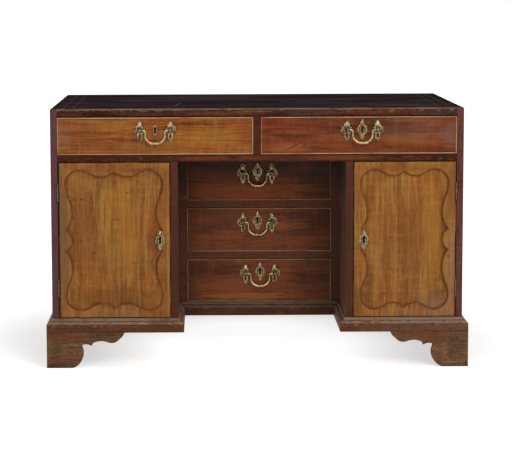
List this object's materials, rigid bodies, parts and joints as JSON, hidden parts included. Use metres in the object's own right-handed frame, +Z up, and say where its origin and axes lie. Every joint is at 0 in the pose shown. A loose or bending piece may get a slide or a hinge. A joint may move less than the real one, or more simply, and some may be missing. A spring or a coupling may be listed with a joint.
{
  "type": "kneehole desk",
  "caption": "Mahogany kneehole desk with a leather top, cockbeaded drawers, a recessed drawer bank, cupboards with shaped sunk panels, brass swan-neck handles and bracket feet.",
  "frame": {"origin": "on the floor under the middle of the desk's overall box", "axes": "+X to the right seen from the front, the front faces -Y, +Z up"},
  "size_m": [1.278, 0.682, 0.787],
  "materials": {
    "show_mahogany": "dark polished, worn",
    "front_mahogany": "waxed, faded",
    "door_mahogany": "waxed, faded",
    "lining_oak": "bare, dusty",
    "leather": "worn, scuffed",
    "brass": "cast, tarnished in the hollows",
    "lock_iron": "dull iron"
  },
  "bodies": {
    "carcase": {"left_side": "show_mahogany", "right_side": "show_mahogany", "left_kneehole_wall": "show_mahogany", "right_kneehole_wall": "show_mahogany", "desk_top": "show_mahogany", "writing_leather": "leather", "front_rails": "show_mahogany", "upper_dustboard": "lining_oak", "back_boards": "lining_oak", "cupboard_floors": "lining_oak", "kneehole_frame": "show_mahogany", "kneehole_dustboards": "lining_oak", "cupboard_shelves": "lining_oak", "base_moulding": "show_mahogany", "bracket_feet": "show_mahogany", "hinge_leaves": "brass"},
    "left_drawer": {"left_drawer_front": "front_mahogany", "left_drawer_box": "lining_oak", "left_drawer_brasses": "brass", "left_drawer_lock": "lock_iron"},
    "left_drawer_bail": {"left_drawer_bail": "brass"},
    "left_drawer_bolt": {"left_drawer_bolt": "lock_iron"},
    "right_drawer": {"right_drawer_front": "front_mahogany", "right_drawer_box": "lining_oak", "right_drawer_brasses": "brass", "right_drawer_lock": "lock_iron"},
    "right_drawer_bail": {"right_drawer_bail": "brass"},
    "right_drawer_bolt": {"right_drawer_bolt": "lock_iron"},
    "upper_kneehole_drawer": {"upper_kneehole_drawer_front": "front_mahogany", "upper_kneehole_drawer_box": "lining_oak", "upper_kneehole_drawer_brasses": "brass", "upper_kneehole_drawer_lock": "lock_iron"},
    "upper_kneehole_drawer_bail": {"upper_kneehole_drawer_bail": "brass"},
    "upper_kneehole_drawer_bolt": {"upper_kneehole_drawer_bolt": "lock_iron"},
    "middle_kneehole_drawer": {"middle_kneehole_drawer_front": "front_mahogany", "middle_kneehole_drawer_box": "lining_oak", "middle_kneehole_drawer_brasses": "brass", "middle_kneehole_drawer_lock": "lock_iron"},
    "middle_kneehole_drawer_bail": {"middle_kneehole_drawer_bail": "brass"},
    "middle_kneehole_drawer_bolt": {"middle_kneehole_drawer_bolt": "lock_iron"},
    "lower_kneehole_drawer": {"lower_kneehole_drawer_front": "front_mahogany", "lower_kneehole_drawer_box": "lining_oak", "lower_kneehole_drawer_brasses": "brass", "lower_kneehole_drawer_lock": "lock_iron"},
    "lower_kneehole_drawer_bail": {"lower_kneehole_drawer_bail": "brass"},
    "lower_kneehole_drawer_bolt": {"lower_kneehole_drawer_bolt": "lock_iron"},
    "left_door": {"left_door_frame": "door_mahogany", "left_door_panel": "door_mahogany", "left_door_bead": "door_mahogany", "left_door_escutcheon": "brass", "left_door_lock": "lock_iron", "left_door_hinge_leaves": "brass"},
    "left_door_bolt": {"left_door_bolt": "lock_iron"},
    "right_door": {"right_door_frame": "door_mahogany", "right_door_panel": "door_mahogany", "right_door_bead": "door_mahogany", "right_door_escutcheon": "brass", "right_door_lock": "lock_iron", "right_door_hinge_leaves": "brass"},
    "right_door_bolt": {"right_door_bolt": "lock_iron"}
  },
  "joints": [
    {"name": "left_drawer_slide", "type": "slide", "parent": "carcase", "child": "left_drawer", "axis": [0, -1, 0], "range_m": [0, 0.42]},
    {"name": "left_drawer_bail_swing", "type": "hinge", "parent": "left_drawer", "child": "left_drawer_bail", "pos_m": [-0.30625, -0.335, 0.7225], "axis": [-1, 0, 0], "range_deg": [-10, 170]},
    {"name": "left_drawer_bolt_throw", "type": "slide", "parent": "left_drawer", "child": "left_drawer_bolt", "axis": [0, 0, 1], "range_m": [0, 0.008]},
    {"name": "right_drawer_slide", "type": "slide", "parent": "carcase", "child": "right_drawer", "axis": [0, -1, 0], "range_m": [0, 0.42]},
    {"name": "right_drawer_bail_swing", "type": "hinge", "parent": "right_drawer", "child": "right_drawer_bail", "pos_m": [0.31625, -0.335, 0.7225], "axis": [-1, 0, 0], "range_deg": [-10, 170]},
    {"name": "right_drawer_bolt_throw", "type": "slide", "parent": "right_drawer", "child": "right_drawer_bolt", "axis": [0, 0, 1], "range_m": [0, 0.008]},
    {"name": "upper_kneehole_drawer_slide", "type": "slide", "parent": "carcase", "child": "upper_kneehole_drawer", "axis": [0, -1, 0], "range_m": [0, 0.25]},
    {"name": "upper_kneehole_drawer_bail_swing", "type": "hinge", "parent": "upper_kneehole_drawer", "child": "upper_kneehole_drawer_bail", "pos_m": [0.0095, -0.071, 0.5635], "axis": [-1, 0, 0], "range_deg": [-10, 170]},
    {"name": "upper_kneehole_drawer_bolt_throw", "type": "slide", "parent": "upper_kneehole_drawer", "child": "upper_kneehole_drawer_bolt", "axis": [0, 0, 1], "range_m": [0, 0.008]},
    {"name": "middle_kneehole_drawer_slide", "type": "slide", "parent": "carcase", "child": "middle_kneehole_drawer", "axis": [0, -1, 0], "range_m": [0, 0.25]},
    {"name": "middle_kneehole_drawer_bail_swing", "type": "hinge", "parent": "middle_kneehole_drawer", "child": "middle_kneehole_drawer_bail", "pos_m": [0.0095, -0.071, 0.4065], "axis": [-1, 0, 0], "range_deg": [-10, 170]},
    {"name": "middle_kneehole_drawer_bolt_throw", "type": "slide", "parent": "middle_kneehole_drawer", "child": "middle_kneehole_drawer_bolt", "axis": [0, 0, 1], "range_m": [0, 0.008]},
    {"name": "lower_kneehole_drawer_slide", "type": "slide", "parent": "carcase", "child": "lower_kneehole_drawer", "axis": [0, -1, 0], "range_m": [0, 0.25]},
    {"name": "lower_kneehole_drawer_bail_swing", "type": "hinge", "parent": "lower_kneehole_drawer", "child": "lower_kneehole_drawer_bail", "pos_m": [0.0175, -0.071, 0.24251], "axis": [-1, 0, 0], "range_deg": [-10, 170]},
    {"name": "lower_kneehole_drawer_bolt_throw", "type": "slide", "parent": "lower_kneehole_drawer", "child": "lower_kneehole_drawer_bolt", "axis": [0, 0, 1], "range_m": [0, 0.008]},
    {"name": "left_door_swing", "type": "hinge", "parent": "carcase", "child": "left_door", "pos_m": [-0.60125, -0.3218, 0.388], "axis": [0, 0, -1], "range_deg": [0, 170]},
    {"name": "left_door_bolt_throw", "type": "slide", "parent": "left_door", "child": "left_door_bolt", "axis": [1, 0, 0], "range_m": [0, 0.008]},
    {"name": "right_door_swing", "type": "hinge", "parent": "carcase", "child": "right_door", "pos_m": [0.60125, -0.3218, 0.388], "axis": [0, 0, 1], "range_deg": [0, 170]},
    {"name": "right_door_bolt_throw", "type": "slide", "parent": "right_door", "child": "right_door_bolt", "axis": [-1, 0, 0], "range_m": [0, 0.008]}
  ]
}
